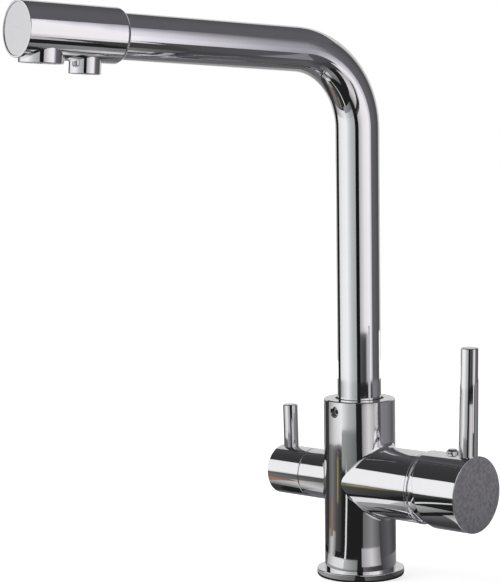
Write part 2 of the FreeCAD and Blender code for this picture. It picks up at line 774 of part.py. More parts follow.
def spout_tubes():
    """The chromed spout tube, the inner tube for filtered water and the plug at its foot."""
    node(along_spout("spout_r", "spout_inner_r", "spout_foot", "socket_end"), "spout_tube", SPOUT)
    inner_r = "filter_tube_r - filter_tube_wall"
    node(along_spout("filter_tube_r", inner_r, "filter_tube_foot", "tube_end"), "filter_water_tube", SPOUT)
    hold_r = "filter_tube_r + slip_fit"
    groove_r = "plug_r - plug_ring_section"
    half_groove = "(plug_ring_section + free_gap) / 2"
    groove_low = "plug_ring_place - " + half_groove
    groove_top = "plug_ring_place + " + half_groove
    plug = turned(outline([
        ("plug_bore_d / 2", "plug_back"), ("plug_r", "plug_back"),
        ("plug_r", groove_low), (groove_r, groove_low), (groove_r, groove_top), ("plug_r", groove_top),
        ("plug_r", "plug_seat"), ("plug_flange_d / 2", "plug_seat"),
        ("plug_flange_d / 2", "plug_flange_top"), ("plug_neck_d / 2", "plug_flange_top"),
        ("plug_neck_d / 2", "plug_top"), (hold_r, "plug_top"),
        (hold_r, "filter_tube_foot"), ("plug_bore_d / 2", "filter_tube_foot"),
    ]))
    node(plug, "filter_tube_plug", SPOUT)
    seal = o_ring("plug_ring_section", "plug_r", "plug_ring_place")
    node(seal, "filter_tube_o_ring", SPOUT)


def spout_head():
    """Cast head at the arm's end, bored for the tube, the two waterways and the two outlets."""
    head = turned(rectangle("0", "head_back", "head_r", "arm_reach"))
    softened(head, "Fillet", "head_shoulder", rim("head_r", "head_back"))
    softened(head, "Fillet", "head_edge", rim("head_r", "arm_reach"))
    bore(head, "XY_Plane", "head_back", "socket_end", "spout_r + slip_fit")
    bore(head, "XY_Plane", "arm_reach", "end_cap_back", "end_cap_r + slip_fit")
    bore(head, "XY_Plane", "socket_end", "tube_end", "filter_tube_r + slip_fit")
    bore(head, "XY_Plane", "tube_end", "filter_outlet", "filter_port_d / 2")
    bore(head, "XY_Plane", "socket_end", "main_outlet", "head_waterway_d / 2", ("head_waterway_rise", "0"))
    main, filtered = ("0", "main_outlet"), ("0", "filter_outlet")
    bore(head, "YZ_Plane", "head_below", "-main_outlet_seat", "main_outlet_d / 2 + slip_fit", main)
    bore(head, "YZ_Plane", "-main_outlet_seat", "head_waterway_rise", "head_waterway_d / 2", main)
    filter_seat_r = "filter_outlet_d / 2 + slip_fit"
    bore(head, "YZ_Plane", "head_below", "-filter_outlet_seat", filter_seat_r, filtered)
    bore(head, "YZ_Plane", "-filter_outlet_seat", "0", "filter_port_d / 2", filtered)
    node(head, "spout_head", ARM)
    end_cap = ring("0", "end_cap_r", "end_cap_back", "end_cap_top")
    softened(end_cap, "Chamfer", "end_cap_edge", rim("end_cap_r", "end_cap_top"))
    node(end_cap, "head_end_cap", ARM)


def outlet_housing(diameter, mouth, top):
    """Chromed cup with an open mouth and a holed roof, pushed up into the head."""
    inner = f"{diameter} / 2 - outlet_wall"
    roof = f"{top} - outlet_flange"
    throat = f"({inner}) - outlet_washer_width"
    housing = turned(outline([
        (inner, mouth), (f"{diameter} / 2", mouth), (f"{diameter} / 2", top),
        (throat, top), (throat, roof), (inner, roof),
    ]))
    softened(housing, "Fillet", "outlet_edge", rim(f"{diameter} / 2", mouth))
    return housing


def flow_insert(diameter, mouth, height, rows):
    """Plastic flow straightener: a disc with rings of fine through holes."""
    outer = f"{diameter} / 2 - outlet_wall - slip_fit"
    low = f"{mouth} + insert_inset"
    high = f"{low} + {height}"
    insert = ring("0", outer, low, high)
    for row in range(1, rows + 1):
        reach = f"(insert_hub_d + insert_hole_d) / 2 + {row - 1} * insert_row_step"
        hole = bore(insert, "XY_Plane", high, low, "insert_hole_d / 2", (reach, "0"))
        around(insert, hole, count=6 * row)
    return insert


def outlet_pieces():
    """The two outlets under the head, each with its housing, flow straightener and washer."""
    housing = outlet_housing("main_outlet_d", "main_mouth", "main_top")
    node(housing, "main_aerator_housing", MAIN_OUTLET)
    insert = flow_insert("main_outlet_d", "main_mouth", "main_insert_height", rows=3)
    node(insert, "main_aerator_insert", MAIN_OUTLET)
    inner = "main_outlet_d / 2 - outlet_wall - slip_fit"
    screen_low = "main_mouth + insert_inset + main_insert_height"
    screen_top = screen_low + " + screen_height"
    screen = ring("0", inner, screen_low, screen_top)
    first = ("screen_circle_d / 2", "0")
    hole = bore(screen, "XY_Plane", screen_top, screen_low, "screen_hole_d / 2", first)
    around(screen, hole, count=24)
    node(screen, "main_aerator_screen", MAIN_OUTLET)
    washer = ring(inner + " - outlet_washer_width", inner, screen_top, "main_top - outlet_flange")
    node(washer, "main_aerator_washer", MAIN_OUTLET)
    nozzle = outlet_housing("filter_outlet_d", "filter_mouth", "filter_top")
    node(nozzle, "filter_outlet_nozzle", FILTER_OUTLET)
    insert = flow_insert("filter_outlet_d", "filter_mouth", "filter_insert_height", rows=2)
    node(insert, "filter_outlet_insert", FILTER_OUTLET)
    inner = "filter_outlet_d / 2 - outlet_wall - slip_fit"
    high = "filter_top - outlet_flange"
    washer = ring(inner + " - outlet_washer_width", inner, high + " - filter_washer_height", high)
    node(washer, "filter_outlet_washer", FILTER_OUTLET)


def cartridge_shell():
    """The cartridge's still pieces: base with seals, fixed disc, housing and the nut that holds it."""
    inlets = [
        ("cartridge_port_rise", "cartridge_port_spread"),
        ("cartridge_port_rise", "-cartridge_port_spread"),
    ]
    outlet = ("-cartridge_outlet_drop", "0")
    base = ring("0", "cartridge_r", "cartridge_back", "fixed_disc_back")
    bore(base, "XY_Plane", "fixed_disc_back", "cartridge_back", "cartridge_port_d / 2", *inlets)
    bore(base, "XY_Plane", "fixed_disc_back", "cartridge_back", "cartridge_outlet_d / 2", outlet)
    recess = "cartridge_back + seal_recess_depth"
    bore(base, "XY_Plane", "cartridge_back", recess, "seal_recess_r", *inlets, outlet)
    node(base, "cartridge_base", MIXER)
    seal_place = "mixer_floor + port_seal_section / 2"
    seals = [
        solid("Torus", (*port, seal_place), Radius1="port_seal_d / 2", Radius2="port_seal_section / 2")
        for port in (*inlets, outlet)
    ]
    node(group(*seals), "cartridge_port_seals", MIXER)
    disc = ring("0", "cavity_r - slip_fit", "fixed_disc_back", "fixed_disc_top")
    bore(disc, "XY_Plane", "fixed_disc_top", "fixed_disc_back", "cartridge_port_d / 2", *inlets)
    bore(disc, "XY_Plane", "fixed_disc_top", "fixed_disc_back", "cartridge_outlet_d / 2", outlet)
    node(disc, "cartridge_fixed_disc", MIXER)
    housing = turned(outline([
        ("cavity_r", "fixed_disc_back"), ("cartridge_r", "fixed_disc_back"), ("cartridge_r", "shoulder"),
        ("cartridge_neck_d / 2", "shoulder"), ("cartridge_neck_d / 2", "neck_end"),
        ("rotor_bore_r", "neck_end"), ("rotor_bore_r", "shoulder - cartridge_end_wall"),
        ("cavity_r", "shoulder - cartridge_end_wall"),
    ]))
    node(housing, "cartridge_housing", MIXER)
    nut_bore = "cartridge_neck_d / 2 + free_gap"
    boss_top = "mixer_branch_end + nut_boss_height"
    nut = turned(outline([
        ("chamber_r", "nut_back"), ("nut_thread_d / 2", "nut_back"),
        ("nut_thread_d / 2", "mixer_branch_end"), ("nut_boss_d / 2", "mixer_branch_end"),
        ("nut_boss_d / 2", boss_top), (nut_bore, boss_top), (nut_bore, "shoulder"), ("chamber_r", "shoulder"),
    ]))
    key_end = "nut_boss_d / 2 + cut_over"
    key = rectangle("cartridge_neck_d / 2", "-nut_key_width / 2", key_end, "nut_key_width / 2")
    slot = shaped(nut, "Pocket", "XY_Plane", boss_top, boss_top + " - nut_lip", key)
    around(nut, slot, count=6)
    node(nut, "cartridge_nut", MIXER)


def cartridge_works():
    """The cartridge's moving pieces: rotor with its pin, spindle, and the sliding disc on its carrier."""
    rotor = turned(outline([
        ("0", "rotor_flange_back"), ("cavity_r - free_gap", "rotor_flange_back"),
        ("cavity_r - free_gap", "rotor_flange_top"), ("rotor_d / 2", "rotor_flange_top"),
        ("rotor_d / 2", "neck_end + free_gap"), ("0", "neck_end + free_gap"),
    ]))
    outer = "lug_inner + lug_wall"
    lugs = [
        rectangle("-lug_width / 2", "lug_inner", "lug_width / 2", outer),
        rectangle("-lug_width / 2", "-(" + outer + ")", "lug_width / 2", "-lug_inner"),
    ]
    for lug in lugs:
        shaped(rotor, "Pad", "XY_Plane", "rotor_flange_back", "carrier_back + free_gap", lug)
    half = "stem_hole / 2"
    slot = rectangle("-rotor_slot_length / 2", "-" + half, "rotor_slot_length / 2", half)
    slot_end = "rotor_flange_back - cut_over"
    shaped(rotor, "Pocket", "XY_Plane", "neck_end + cut_over", slot_end, slot)
    pin_hole = "pivot_pin_d / 2 + slip_fit"
    bore(rotor, "XZ_Plane", "-rotor_d", "rotor_d", pin_hole, ("0", "pivot"))
    node(rotor, "cartridge_rotor", MIXER)
    sideways = Rotation(Vector(1, 0, 0), 90)
    pin_half = "rotor_d / 2 - free_gap"
    pin = ring("0", "pivot_pin_d / 2", "-(" + pin_half + ")", pin_half)
    pin_axis = Placement(Vector(0, 0, value("pivot")), sideways)
    node(pin, "cartridge_pivot_pin", MIXER * pin_axis)
    low = "pivot - spindle_back"
    stem = solid(
        "Box", ("-spindle_square / 2", "-spindle_square / 2", low),
        Length="spindle_square", Width="spindle_square", Height="spindle_end - (" + low + ")",
    )
    arm = solid(
        "Cylinder", ("0", "0", "ball_place"),
        Radius="spindle_arm_d / 2", Height="spindle_arm - spindle_back + joint_overlap",
    )
    ball = solid("Sphere", ("0", "0", "ball_place"), Radius="spindle_ball_d / 2")
    hole = solid(
        "Cylinder", ("0", "spindle_square", "pivot"), sideways,
        Radius="pivot_pin_d / 2 + running_fit", Height="2 * spindle_square",
    )
    node(cut(joined(stem, arm, ball), hole), "cartridge_spindle", MIXER)
    disc = ring("0", "moving_disc_d / 2", "moving_disc_back", "carrier_back")
    recess_top = "moving_disc_back + mixing_recess_depth"
    recess = ("-mixing_recess_offset", "0")
    bore(disc, "XY_Plane", "moving_disc_back", recess_top, "mixing_recess_d / 2", recess)
    node(disc, "cartridge_moving_disc", MIXER)
    carrier = ring("0", "moving_disc_d / 2", "carrier_back", "carrier_top")
    pocket_r = "spindle_ball_d / 2 + carrier_pocket_gap"
    bore(carrier, "XY_Plane", "carrier_top", "carrier_back + free_gap", pocket_r)
    node(carrier, "cartridge_disc_carrier", MIXER)


def cartridge_shroud():
    """Chromed cover over the cartridge nut, with a round nose for the handle to tilt over."""
    flange = ring("0", "column_r", "shroud_back", "shroud_step")
    softened(flange, "Fillet", "seam_edge", rim("column_r", "shroud_back"))
    softened(flange, "Fillet", "seam_edge", rim("column_r", "shroud_step"))
    nose = solid(
        "Sphere", ("0", "0", "pivot"), Radius="nose_r",
        Angle1="asin((shroud_step - pivot) / nose_r)", Angle2="asin((nose_end - pivot) / nose_r)",
    )
    boss_bore = solid(
        "Cylinder", ("0", "0", "shroud_back - cut_over"),
        Radius="nut_boss_d / 2 + slip_fit", Height="nut_boss_height + cut_over",
    )
    wide_bore = solid(
        "Cylinder", ("0", "0", "mixer_branch_end + nut_boss_height"),
        Radius="shroud_bore_d / 2", Height="shroud_nose_end",
    )
    node(cut(joined(flange, nose), boss_bore, wide_bore), "cartridge_shroud", MIXER)


def leaning(lean):
    """Stand a piece that is drawn along Z on top of a handle, leaning outwards."""
    return Rotation(Vector(0, 1, 0), 90 - value(lean))


def lever(base_d, top_d, top, stand, lean, spigot_d, cap_radius):
    """A tapered rod whose foot is hollowed to sit on its handle, with a threaded spigot below."""
    foot = f"{cap_radius} - lever_foot_sink"
    height = f"({top} - ({foot})) / cos({lean})"
    rod = turned(outline([
        ("0", "0"), (f"{base_d} / 2", "0"), (f"{top_d} / 2", height + " - lever_edge"),
        (f"{top_d} / 2 - lever_edge", height), ("0", height),
    ]))
    along = value(f"{stand} - lever_foot_sink * tan({lean})")
    rod.Placement = Placement(Vector(value(foot), 0, along), leaning(lean))
    saddle = solid("Cylinder", ("0", "0", f"{stand} - {base_d}"), Radius=cap_radius, Height=f"2 * {base_d}")
    return joined(cut(rod, saddle), spigot(stand, lean, spigot_d, cap_radius))


def spigot(stand, lean, spigot_d, cap_radius):
    """The threaded end of a lever, from deep in the handle up into the rod's foot."""
    low = f"{cap_radius} - lever_spigot_depth"
    at = (low, "0", f"{stand} - lever_spigot_depth * tan({lean})")
    length = "lever_spigot_depth + joint_overlap"
    return solid("Cylinder", at, leaning(lean), Radius=f"{spigot_d} / 2", Height=length)


def mixer_cap():
    """Handle of the mixer: a cup whose slanted rim clears the body when the lever is tilted."""
    start = "cap_rim - rim_slant"
    cap = turned(outline([
        ("0", "mixer_boss_end"), ("mixer_boss_d / 2", "mixer_boss_end"),
        ("mixer_boss_d / 2", "cap_cavity_end"),
        ("cap_inner_r", "cap_cavity_end"), ("cap_inner_r", start), ("cap_r", start),
        ("cap_r", "mixer_cap_face"), ("0", "mixer_cap_face"),
    ]))
    softened(cap, "Fillet", "handle_cap_edge", rim("cap_r", "mixer_cap_face"))
    wedge = outline([
        ("cap_wide", start), ("-cap_wide", "cap_rim + rim_slant"),
        ("-cap_wide", start + " - cut_over"), ("cap_wide", start + " - cut_over"),
    ])
    shaped(cap, "Pocket", "XZ_Plane", "-cap_wide", "cap_wide", wedge)
    softened(cap, "Fillet", "seam_edge", is_slanted_rim)
    screw_axis = ("0", "mixer_screw_place")
    boss = circles("mixer_screw_boss_d / 2", screw_axis)
    shaped(cap, "Pad", "YZ_Plane", "spindle_square / 2", "cap_inner_r + mixer_cap_wall / 2", boss)
    half = "stem_hole / 2"
    stem = rectangle("-" + half, "-" + half, half, half)
    shaped(cap, "Pocket", "XY_Plane", "mixer_boss_end - cut_over", "spindle_end + free_gap", stem)
    bore(cap, "YZ_Plane", "0", "cap_wide", "mixer_screw_d / 2 + slip_fit", screw_axis)
    bore(cap, "YZ_Plane", "cap_wide", "cap_r - button_seat", "button_d / 2 + slip_fit", screw_axis)
    hole = spigot("mixer_lever_place", "mixer_lever_lean", "mixer_spigot_d", "cap_r")
    node(cut(cap, hole), "mixer_handle_cap", MIXER)


def upwards(place):
    """A frame on the mixer's axis whose Z points up."""
    return MIXER * Placement(Vector(0, 0, value(place)), ACROSS)


def mixer_handle():
    """The mixer's handle: cap, lever, the screw that clamps it to the spindle, and its button."""
    mixer_cap()
    rod = lever(
        "mixer_lever_base_d", "mixer_lever_top_d", "mixer_lever_top", "mixer_lever_place",
        "mixer_lever_lean", "mixer_spigot_d", "cap_r",
    )
    node(rod, "mixer_lever", MIXER)
    low = "spindle_square / 2"
    clamp = screw("mixer_screw_d / 2", low, low + " + mixer_screw_length")
    node(clamp, "mixer_grub_screw", upwards("mixer_screw_place"))
    seat = "cap_r - button_seat"
    plug_r = "mixer_screw_d / 2"
    stem_end = seat + " - button_stem"
    shoulder, top = "cap_r + button_side", "cap_r + button_rise"
    button = turned(outline([
        ("0", stem_end), (plug_r, stem_end), (plug_r, seat), ("button_d / 2", seat),
        ("button_d / 2", shoulder), ("button_flat_d / 2", top), ("0", top),
    ]))
    softened(button, "Fillet", "button_edge", rim("button_d / 2", shoulder))
    node(button, "mixer_index_button", upwards("mixer_screw_place"))


def filter_valve():
    """Quarter-turn ceramic valve: seal, two discs, valve body and spindle."""
    ports = [("filter_port_offset", "0"), ("-filter_port_offset", "0")]
    seal = ring("0", "valve_r - slip_fit", "filter_floor", "fixed_filter_disc")
    bore(seal, "XY_Plane", "fixed_filter_disc", "filter_floor", "filter_port_d / 2", *ports)
    node(seal, "filter_valve_seal", FILTER)
    disc = ring("0", "valve_r - slip_fit", "fixed_filter_disc", "valve_back")
    bore(disc, "XY_Plane", "valve_back", "fixed_filter_disc", "filter_port_d / 2", *ports)
    node(disc, "filter_fixed_disc", FILTER)
    disc = ring("0", "filter_disc_d / 2", "moving_filter_disc", "valve_flange_back")
    long, wide = "filter_channel_length / 2", "filter_channel_width / 2"
    channel = rectangle("-" + wide, "-" + long, wide, long)
    channel_end = "moving_filter_disc + filter_channel_depth"
    shaped(disc, "Pocket", "XY_Plane", "moving_filter_disc", channel_end, channel)
    node(disc, "filter_moving_disc", FILTER)
    ring_r = "valve_spindle_r - spindle_ring_section"
    half_groove = "(spindle_ring_section + free_gap) / 2"
    ring_low = "spindle_ring_place - " + half_groove
    ring_top = "spindle_ring_place + " + half_groove
    spindle = turned(outline([
        ("0", "valve_flange_back"), ("filter_disc_d / 2", "valve_flange_back"),
        ("filter_disc_d / 2", "valve_flange_top"), ("valve_spindle_r", "valve_flange_top"),
        ("valve_spindle_r", ring_low), (ring_r, ring_low), (ring_r, ring_top), ("valve_spindle_r", ring_top),
        ("valve_spindle_r", "filter_spindle_top"), ("0", "filter_spindle_top"),
    ]))
    node(spindle, "filter_valve_spindle", FILTER)
    seal = o_ring("spindle_ring_section", "valve_spindle_r", "spindle_ring_place")
    node(seal, "filter_spindle_o_ring", FILTER)
    body = turned(outline([
        ("valve_cavity_r", "valve_back"), ("valve_r", "valve_back"), ("valve_r", "valve_hex_back"),
        ("valve_neck_d / 2", "valve_hex_back"), ("valve_neck_d / 2", "valve_neck_top"),
        ("valve_bore_r", "valve_neck_top"), ("valve_bore_r", "valve_cavity_end"),
        ("valve_cavity_r", "valve_cavity_end"),
    ]))
    collar = both(hexagon("valve_hex"), circles("valve_bore_r", ("0", "0")))
    shaped(body, "Pad", "XY_Plane", "valve_hex_back", "valve_hex_top", collar)
    node(body, "filter_valve_body", FILTER)


def filter_handle():
    """The filtered water handle: cap, lever and the screw that clamps it to the spindle."""
    cap = turned(outline([
        ("0", "filter_boss_end"), ("filter_boss_d / 2", "filter_boss_end"),
        ("filter_boss_d / 2", "filter_cavity_end"),
        ("filter_cap_inner", "filter_cavity_end"), ("filter_cap_inner", "filter_cap_back"),
        ("filter_cap_r", "filter_cap_back"), ("filter_cap_r", "filter_face"), ("0", "filter_face"),
    ]))
    softened(cap, "Fillet", "handle_cap_edge", rim("filter_cap_r", "filter_face"))
    softened(cap, "Fillet", "seam_edge", rim("filter_cap_r", "filter_cap_back"))
    screw_axis = ("0", "filter_screw_place")
    boss = circles("filter_screw_boss_d / 2", screw_axis)
    boss_end = "-(filter_cap_inner + filter_cap_wall / 2)"
    shaped(cap, "Pad", "YZ_Plane", "-valve_spindle_r", boss_end, boss)
    bore(cap, "XY_Plane", "filter_boss_end", "filter_spindle_top + free_gap", "valve_spindle_r + slip_fit")
    bore(cap, "YZ_Plane", "0", "-filter_cap_wide", "filter_screw_d / 2 + slip_fit", screw_axis)
    hole = spigot("filter_lever_place", "filter_lever_lean", "filter_spigot_d", "filter_cap_r")
    node(cut(cap, hole), "filter_handle_cap", FILTER)
    rod = lever(
        "filter_lever_d", "filter_lever_d", "filter_lever_top", "filter_lever_place",
        "filter_lever_lean", "filter_spigot_d", "filter_cap_r",
    )
    node(rod, "filter_lever", FILTER)
    screw_end = "valve_spindle_r + filter_screw_length"
    clamp = screw("filter_screw_d / 2", "valve_spindle_r", screw_end)
    downwards = Placement(Vector(0, 0, value("filter_screw_place")), Rotation(Vector(0, 1, 0), -90))
    node(clamp, "filter_grub_screw", FILTER * downwards)


tap_body()
inlet_block()
base_pieces()
swivel_pieces()
spout_tubes()
spout_head()
outlet_pieces()
cartridge_shell()
cartridge_works()
cartridge_shroud()
mixer_handle()
filter_valve()
filter_handle()
doc.recompute()

for item in doc.Objects:
    if "Invalid" in item.State or "Error" in item.State:
        raise ValueError(f"{item.Label} failed: {item.State}")
for piece in nodes:
    if piece.Shape.isNull() or not piece.Shape.isValid() or not piece.Shape.Solids:
        raise ValueError(f"{piece.Label} has no valid shape")

os.makedirs("parts", exist_ok=True)
for piece in nodes:
    piece.Shape.exportStep(f"parts/{piece.Label}.step")
    print(f"{piece.Label}: {len(piece.Shape.Solids)} solid(s), {piece.Shape.Volume:.1f} mm3")
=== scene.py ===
from math import pi, radians

import bmesh
import bpy
from mathutils import Matrix, Vector

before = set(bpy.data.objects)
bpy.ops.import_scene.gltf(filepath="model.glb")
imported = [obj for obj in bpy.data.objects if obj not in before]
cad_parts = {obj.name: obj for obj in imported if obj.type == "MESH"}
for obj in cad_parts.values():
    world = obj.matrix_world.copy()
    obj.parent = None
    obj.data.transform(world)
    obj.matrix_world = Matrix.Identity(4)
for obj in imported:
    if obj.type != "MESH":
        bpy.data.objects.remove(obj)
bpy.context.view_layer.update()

# Camera. It stands a little above the tap's middle, between the user's side and the mixer's end,
# and far enough away to keep the sides of the column and of the arm nearly parallel.
CAMERA_PLACE = Vector((0.95945, -1.15255, 0.33510))
CAMERA_AZIMUTH = radians(42.38)
CAMERA_LOOKS_DOWN = radians(5.82)
CAMERA_ROLL = radians(-0.70)
CAMERA_LENS = 148.45
NEAREST_SEEN, FURTHEST_SEEN = 0.05, 50

camera = bpy.data.objects.new("camera", bpy.data.cameras.new("camera"))
camera.data.lens = CAMERA_LENS
camera.data.clip_start, camera.data.clip_end = NEAREST_SEEN, FURTHEST_SEEN
camera.matrix_world = (
    Matrix.Translation(CAMERA_PLACE)
    @ Matrix.Rotation(CAMERA_AZIMUTH, 4, "Z")
    @ Matrix.Rotation(pi / 2 - CAMERA_LOOKS_DOWN, 4, "X")
    @ Matrix.Rotation(CAMERA_ROLL, 4, "Z")
)
bpy.context.scene.collection.objects.link(camera)
bpy.context.scene.camera = camera
bpy.context.scene.view_settings.view_transform = "Standard"

# Air. A soft even light falls from all round. Past the floor there is plain white to be seen,
# straight on and in reflections.
AIR_LIGHT = 0.55


def looked_at(tree):
    """1 for what the camera, a reflection or a clear piece looks at, and 0 for light that falls."""
    path = tree.nodes.new("ShaderNodeLightPath")
    seen = path.outputs["Is Camera Ray"]
    for other in ("Is Glossy Ray", "Is Transmission Ray"):
        either = tree.nodes.new("ShaderNodeMath")
        either.operation = "MAXIMUM"
        tree.links.new(seen, either.inputs[0])
        tree.links.new(path.outputs[other], either.inputs[1])
        seen = either.outputs[0]
    return seen


def between(tree, share, low, high):
    """A number that goes from low to high as the share goes from 0 to 1."""
    scale = tree.nodes.new("ShaderNodeMapRange")
    scale.inputs["To Min"].default_value = low
    scale.inputs["To Max"].default_value = high
    tree.links.new(share, scale.inputs["Value"])
    return scale.outputs["Result"]


air = bpy.data.worlds.new("air")
air.use_nodes = True
sky = air.node_tree.nodes["Background"]
sky.inputs["Color"].default_value = (1, 1, 1, 1)
strength = between(air.node_tree, looked_at(air.node_tree), AIR_LIGHT, 1)
air.node_tree.links.new(strength, sky.inputs["Strength"])
bpy.context.scene.world = air

# Floor. A pale sheet just under the deck's level, which runs out to white and keeps the tap's soft
# shadow. It is clear from below, so that the tap's underside can be seen.
FLOOR_HALF = 4.0
FLOOR_DROP = 0.0003
FLOOR_TONE = 0.9
FLOOR_ROUGHNESS = 0.9
FLOOR_GLOW = 0.56


def in_scene(name, bm):
    """A mesh object with its place in its mesh."""
    mesh = bpy.data.meshes.new(name)
    bm.to_mesh(mesh)
    bm.free()
    thing = bpy.data.objects.new(name, mesh)
    bpy.context.scene.collection.objects.link(thing)
    return thing


def shader_of(material):
    """The material's one shader."""
    return material.node_tree.nodes["Principled BSDF"]


def new_material(name):
    """A material with its nodes and its shader, ready for values and links."""
    material = bpy.data.materials.new(name)
    material.use_nodes = True
    return material, material.node_tree, shader_of(material)


bm = bmesh.new()
bmesh.ops.create_grid(bm, x_segments=1, y_segments=1, size=FLOOR_HALF)
bmesh.ops.translate(bm, vec=(0, 0, -FLOOR_DROP), verts=bm.verts)
floor = in_scene("floor", bm)
paper, tree, shader = new_material("pale_paper")
shader.inputs["Base Color"].default_value = (FLOOR_TONE, FLOOR_TONE, FLOOR_TONE, 1)
shader.inputs["Roughness"].default_value = FLOOR_ROUGHNESS
shader.inputs["Emission Color"].default_value = (1, 1, 1, 1)
glow = between(tree, looked_at(tree), 0, FLOOR_GLOW)
tree.links.new(glow, shader.inputs["Emission Strength"])
clear = tree.nodes.new("ShaderNodeBsdfTransparent")
side = tree.nodes.new("ShaderNodeNewGeometry")
either = tree.nodes.new("ShaderNodeMixShader")
tree.links.new(side.outputs["Backfacing"], either.inputs["Fac"])
tree.links.new(shader.outputs["BSDF"], either.inputs[1])
tree.links.new(clear.outputs["BSDF"], either.inputs[2])
tree.links.new(either.outputs["Shader"], tree.nodes["Material Output"].inputs["Surface"])
floor.data.materials.append(paper)

# Studio. Glowing sheets hang in a ring round the tap and lie round its foot, under a glowing grey
# ceiling. Only the tap's reflections show them. Their glow is painted reflection, which gives the
# white, grey and black bands that chrome has. Their angles are counted from the camera's side, and
# each fades through three tones of glow from its first to its last.
TOWARDS_CAMERA = -47.62
TAP_MIDDLE = Vector((0, 0, 0.15))
RING = 0.9
MAT_HEIGHT = 0.001
LAID_HEIGHT = 0.002
GLOWING_STRIP_HEIGHT = 0.004
STEPS_PER_DEGREE = 0.5
ANGLE_SLACK = 1e-4  # keeps a cloth's first edge from counting as its last
COOL, WARM, HAZE, PLAIN = (0.965, 0.985, 1.0), (1.0, 0.975, 0.99), (1.0, 0.97, 1.05), (1, 1, 1)
# Hung sheets: painted reflections that glow in tones from near black up to white.
HUNG_GLOWING_SHEETS = {
    # name: first and last angle, low and high edge, first, middle and last tone, tint
    "left_glowing_sheet": (-118, -62, 0, 0.62, (0.75, 0.95, 1.0), PLAIN),
    "left_shade": (-62, -14, 0, 0.62, (0.98, 0.58, 0.42), COOL),
    "camera_gap": (-14, 4, 0, 0.95, (0.01, 0.01, 0.01), PLAIN),
    "right_glowing_sheet": (4, 57, 0.05, 0.9, (0.45, 0.9, 1.0), WARM),
    "right_hem": (4, 57, 0, 0.05, (0.1, 0.05, 1.0), WARM),
    "right_fade": (57, 76, 0, 1.0, (0.95, 0.42, 0.14), HAZE),
    "side_glowing_sheet": (76, 128, 0, 0.95, (0.14, 0.11, 0.07), HAZE),
    "back_fade": (128, 150, 0.05, 0.9, (0.1, 0.4, 0.85), PLAIN),
    "back_glowing_sheet": (150, 215, 0.02, 0.9, (0.62, 0.66, 0.55), PLAIN),
    "left_edge": (215, 242, 0, 0.9, (0.02, 0.01, 0.02), PLAIN),
}
# Sheets laid on the floor round the tap's foot: painted reflections that glow from dim to white.
LAID_GLOWING_SHEETS = {
    # name: first and last angle, near and far edge, first, middle and last tone, tint
    "left_floor_glow": (-118, -62, 0.52, RING, (0.3, 0.7, 0.95), PLAIN),
    "left_floor_glow_shade": (-62, -14, 0.6, RING, (0.9, 0.5, 0.35), COOL),
    "left_floor_glow_hem": (-62, -14, 0.42, 0.6, (0.35, 0.25, 0.16), COOL),
    "left_side_floor_glow": (-118, -84, 0.16, 0.52, (0.12, 0.2, 0.09), PLAIN),
    "left_near_floor_glow": (-84, -62, 0.1, 0.52, (0.09, 0.06, 0.03), PLAIN),
    "right_floor_glow": (4, 46, 0.42, 0.76, (0.28, 0.75, 0.45), WARM),
    "right_floor_glow_end": (46, 57, 0.62, RING, (0.6, 0.85, 0.8), WARM),
    "side_floor_glow": (68, 128, 0.3, RING, (0.24, 0.21, 0.1), HAZE),
    "near_side_floor_glow": (57, 128, 0.08, 0.3, (0.06, 0.12, 0.06), HAZE),
    "side_gap_floor_glow": (57, 68, 0.3, RING, (0.08, 0.09, 0.1), HAZE),
    "right_gap_floor_glow": (46, 57, 0.24, 0.62, (0.05, 0.06, 0.06), WARM),
    "back_floor_glow": (128, 215, 0.3, RING, (0.12, 0.4, 0.2), PLAIN),
    "edge_floor_glow": (215, 242, 0.1, RING, (0.05, 0.04, 0.05), PLAIN),
    "near_back_floor_glow": (128, 215, 0.08, 0.3, (0.08, 0.14, 0.16), HAZE),
    "left_foot_light": (-118, -50, 0.05, 0.08, (0.4, 0.8, 0.85), PLAIN),
    "left_foot_strip": (-118, -84, 0.08, 0.16, (0.15, 0.62, 0.2), PLAIN),
    "front_foot_light": (-50, -12, 0.05, 0.08, (0.5, 0.36, 0.22), PLAIN),
    "near_foot_light": (-118, -12, 0.03, 0.05, (0.3, 0.34, 0.12), PLAIN),
    "right_foot_shade": (4, 57, 0.03, 0.06, (0.14, 0.06, 0.04), HAZE),
    "back_foot_shade": (57, 242, 0.03, 0.08, (0.06, 0.3, 0.1), HAZE),
    "right_foot_light": (0, 57, 0.06, 0.12, (0.36, 0.7, 0.2), WARM),
    "right_foot_end": (4, 57, 0.12, 0.24, (0.15, 0.26, 0.1), WARM),
    "front_strip": (-50, -45, 0.08, 0.42, (0.8, 0.85, 0.5), COOL),
}
GLOWING_STRIPS = {
    # the same, for glowing coloured strips that lie on the floor sheets: painted coloured
    # reflections
    "orange_glowing_strip": (-109, -97, 0.13, 0.27, (0.2, 0.36, 0.2), (1.0, 0.6, 0.42)),
    "olive_glowing_strip": (-82, -73, 0.26, 0.46, (0.12, 0.36, 0.12), (0.85, 0.8, 0.4)),
}
CEILING_RADIUS = 3.0
CEILING_ROUND, CEILING_RISE = 48, 24
CEILING_RIM = -0.01
CEILING_BRIGHT_ANGLE = 100
CEILING_TONES = (0.04, 0.12)
MAT_GREY = 0.016
MAT_EDGE = 0.029
MAT_SEGMENTS = 96


